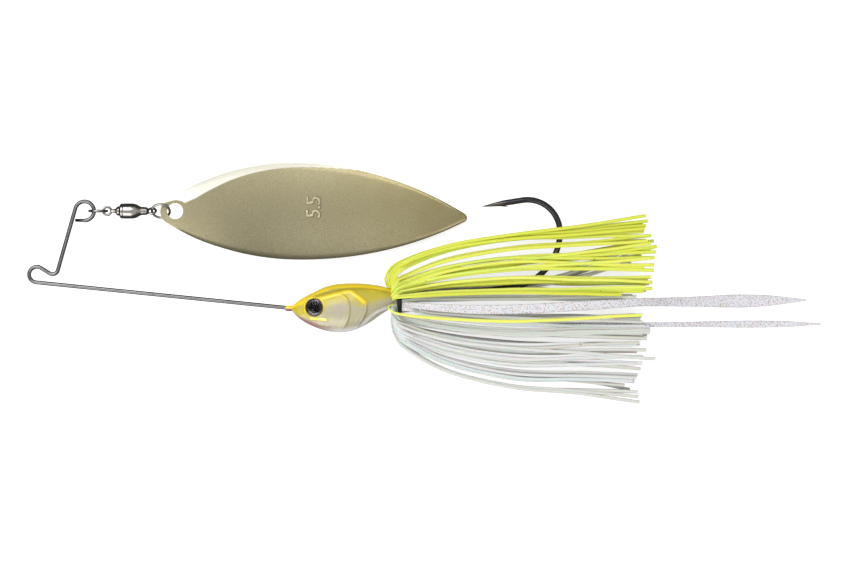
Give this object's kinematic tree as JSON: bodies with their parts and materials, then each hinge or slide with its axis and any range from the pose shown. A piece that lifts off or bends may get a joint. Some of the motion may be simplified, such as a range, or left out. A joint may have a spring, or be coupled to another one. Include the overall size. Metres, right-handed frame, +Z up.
{
  "type": "spinnerbait",
  "caption": "Willow blade spinnerbait: bent wire arm, painted fish-shaped lead head, single hook, silicone skirt with long tails, and a cupped blade on a ball bearing swivel.",
  "frame": {"origin": "centre of the open line tie bend, in the plane of the bent wire", "axes": "lying on its side: +X from the line tie to the tails, +Y from the head to the blade side, +Z up, square to the plane of the wire"},
  "size_m": [0.1817, 0.0542, 0.0108],
  "materials": {
    "stainless_wire": "bright drawn",
    "head_paint": "gloss paint over cast lead, chartreuse back and pearl belly",
    "eye_foil": "bright foil",
    "eye_lens": "clear domed resin over a black pupil",
    "black_nickel": "black nickel plate",
    "collar_rubber": "matt",
    "nickel_ring": "bright nickel",
    "swivel_nickel": "bright nickel over brass",
    "bearing_steel": "polished",
    "champagne_gold": "satin champagne gold plate",
    "chartreuse_silicone": "glossy silicone",
    "pearl_silicone": "glossy silicone with a pearl sheen",
    "glitter_silicone": "glossy silicone with metal flake"
  },
  "bodies": {
    "frame": {"wire_form": "stainless_wire", "lead_head": "head_paint", "eye_foil_near": "eye_foil", "eye_foil_far": "eye_foil", "eye_lens_near": "eye_lens", "eye_lens_far": "eye_lens", "hook": "black_nickel", "skirt_collar": "collar_rubber"},
    "front_ring": {"link_ring_front": "nickel_ring"},
    "swivel_shaft": {"swivel_stem": "swivel_nickel"},
    "swivel_body": {"swivel_barrel": "swivel_nickel", "swivel_end_cap": "swivel_nickel"},
    "bearing_balls": {"swivel_ball_1": "bearing_steel", "swivel_ball_2": "bearing_steel", "swivel_ball_3": "bearing_steel", "swivel_ball_4": "bearing_steel", "swivel_ball_5": "bearing_steel", "swivel_ball_6": "bearing_steel", "swivel_ball_7": "bearing_steel", "swivel_ball_8": "bearing_steel"},
    "rear_ring": {"link_ring_rear": "nickel_ring"},
    "blade": {"willow_blade": "champagne_gold"},
    "skirt_upper": {"chartreuse_lock_near_1": "chartreuse_silicone", "chartreuse_lock_near_2": "chartreuse_silicone", "chartreuse_lock_near_3": "chartreuse_silicone", "chartreuse_lock_near_4": "chartreuse_silicone", "chartreuse_lock_near_5": "chartreuse_silicone", "chartreuse_lock_far_1": "chartreuse_silicone", "chartreuse_lock_far_2": "chartreuse_silicone", "chartreuse_lock_far_3": "chartreuse_silicone", "chartreuse_lock_far_4": "chartreuse_silicone", "chartreuse_lock_far_5": "chartreuse_silicone"},
    "skirt_lower": {"pearl_lock_near_1": "pearl_silicone", "pearl_lock_near_2": "pearl_silicone", "pearl_lock_near_3": "pearl_silicone", "pearl_lock_near_4": "pearl_silicone", "pearl_lock_near_5": "pearl_silicone", "pearl_lock_far_1": "pearl_silicone", "pearl_lock_far_2": "pearl_silicone", "pearl_lock_far_3": "pearl_silicone", "pearl_lock_far_4": "pearl_silicone", "pearl_lock_far_5": "pearl_silicone"},
    "tail_a": {"tail_upper": "glitter_silicone"},
    "tail_b": {"tail_lower": "glitter_silicone"}
  },
  "joints": [
    {"name": "front_ring_swing", "type": "hinge", "parent": "frame", "child": "front_ring", "pos_m": [0.01304, 0.01452, 0], "axis": [0, 1, 0], "range_deg": [-80, 80]},
    {"name": "stem_swing", "type": "hinge", "parent": "front_ring", "child": "swivel_shaft", "pos_m": [0.01603, 0.01452, 0], "axis": [0, 0, 1], "range_deg": [-1, 100]},
    {"name": "swivel_spin", "type": "hinge", "parent": "swivel_shaft", "child": "swivel_body", "pos_m": [0.019, 0.01452, 0], "axis": [1, 0, 0], "continuous": true},
    {"name": "ball_orbit", "type": "hinge", "parent": "swivel_shaft", "child": "bearing_balls", "pos_m": [0.01986, 0.01452, 0], "axis": [1, 0, 0], "continuous": true},
    {"name": "rear_ring_swing", "type": "hinge", "parent": "swivel_body", "child": "rear_ring", "pos_m": [0.02627, 0.01452, 0], "axis": [0, 0.7431, 0.6691], "range_deg": [-3, 70]},
    {"name": "blade_flap", "type": "hinge", "parent": "rear_ring", "child": "blade", "pos_m": [0.03032, 0.01452, 0], "axis": [0, 0.7431, 0.6691], "range_deg": [-3, 36]},
    {"name": "skirt_upper_flare", "type": "hinge", "parent": "frame", "child": "skirt_upper", "pos_m": [0.0837, -0.00572, 0], "axis": [0, 0, 1], "range_deg": [-1, 6], "stiffness_Nm_per_rad": 0.002},
    {"name": "skirt_lower_flare", "type": "hinge", "parent": "frame", "child": "skirt_lower", "pos_m": [0.0837, -0.00572, 0], "axis": [0, 0, 1], "range_deg": [-6, 1], "stiffness_Nm_per_rad": 0.002},
    {"name": "tail_upper_flap", "type": "hinge", "parent": "skirt_lower", "child": "tail_a", "pos_m": [0.1371, -0.0067, -0.0025], "axis": [0, 1, 0], "range_deg": [-35, 35], "stiffness_Nm_per_rad": 0.00002},
    {"name": "tail_lower_flap", "type": "hinge", "parent": "skirt_lower", "child": "tail_b", "pos_m": [0.1371, -0.0114, -0.0025], "axis": [0, 1, 0], "range_deg": [-35, 35], "stiffness_Nm_per_rad": 0.00002}
  ],
  "couplings": [
    {"joint": "ball_orbit", "follows": "swivel_spin", "ratio": 0.74},
    {"joint": "skirt_lower_flare", "follows": "skirt_upper_flare", "ratio": -1}
  ]
}
